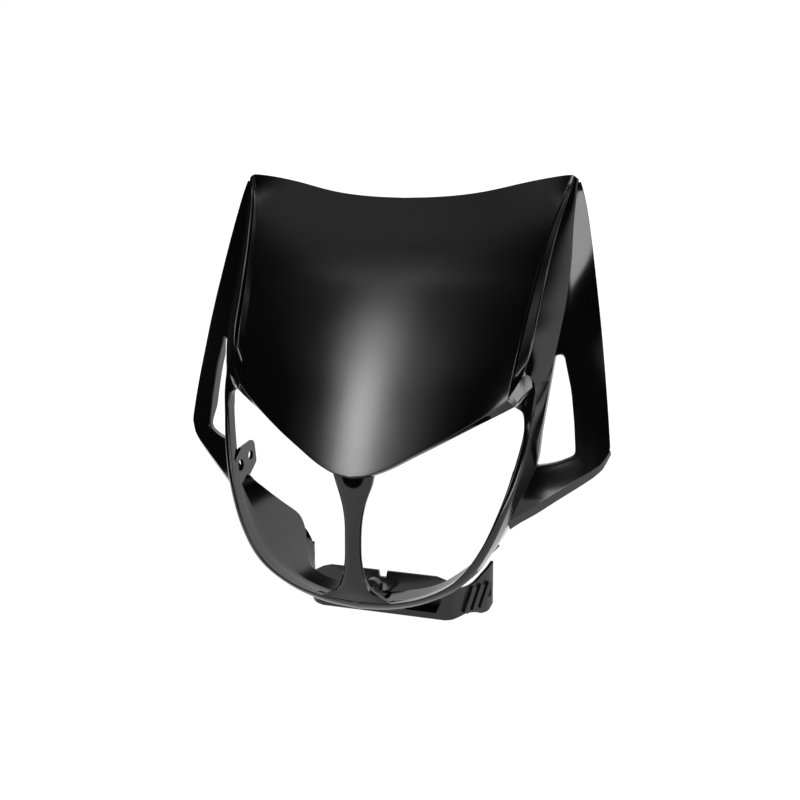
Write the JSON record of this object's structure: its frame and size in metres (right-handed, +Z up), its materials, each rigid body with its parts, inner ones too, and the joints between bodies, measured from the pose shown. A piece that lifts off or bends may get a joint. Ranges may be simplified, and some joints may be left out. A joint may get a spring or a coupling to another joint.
{
  "type": "motorcycle headlight mask",
  "caption": "Gloss black motorcycle headlight mask with a bowed number plate panel, lamp openings split by a pillar, flared side wings with windows, and a satin lower bracket.",
  "frame": {"origin": "centre of the bounding box's base, level with the lower edge of the bracket", "axes": "-Y is the front of the mask, +Z is up, X runs across it, symmetric about X = 0"},
  "size_m": [0.33, 0.1206, 0.3221],
  "materials": {
    "gloss_black": "polished gloss black moulding",
    "satin_black": "satin black moulding"
  },
  "bodies": {
    "root": {"mask_shell": "gloss_black", "lower_bracket": "satin_black"}
  },
  "joints": []
}
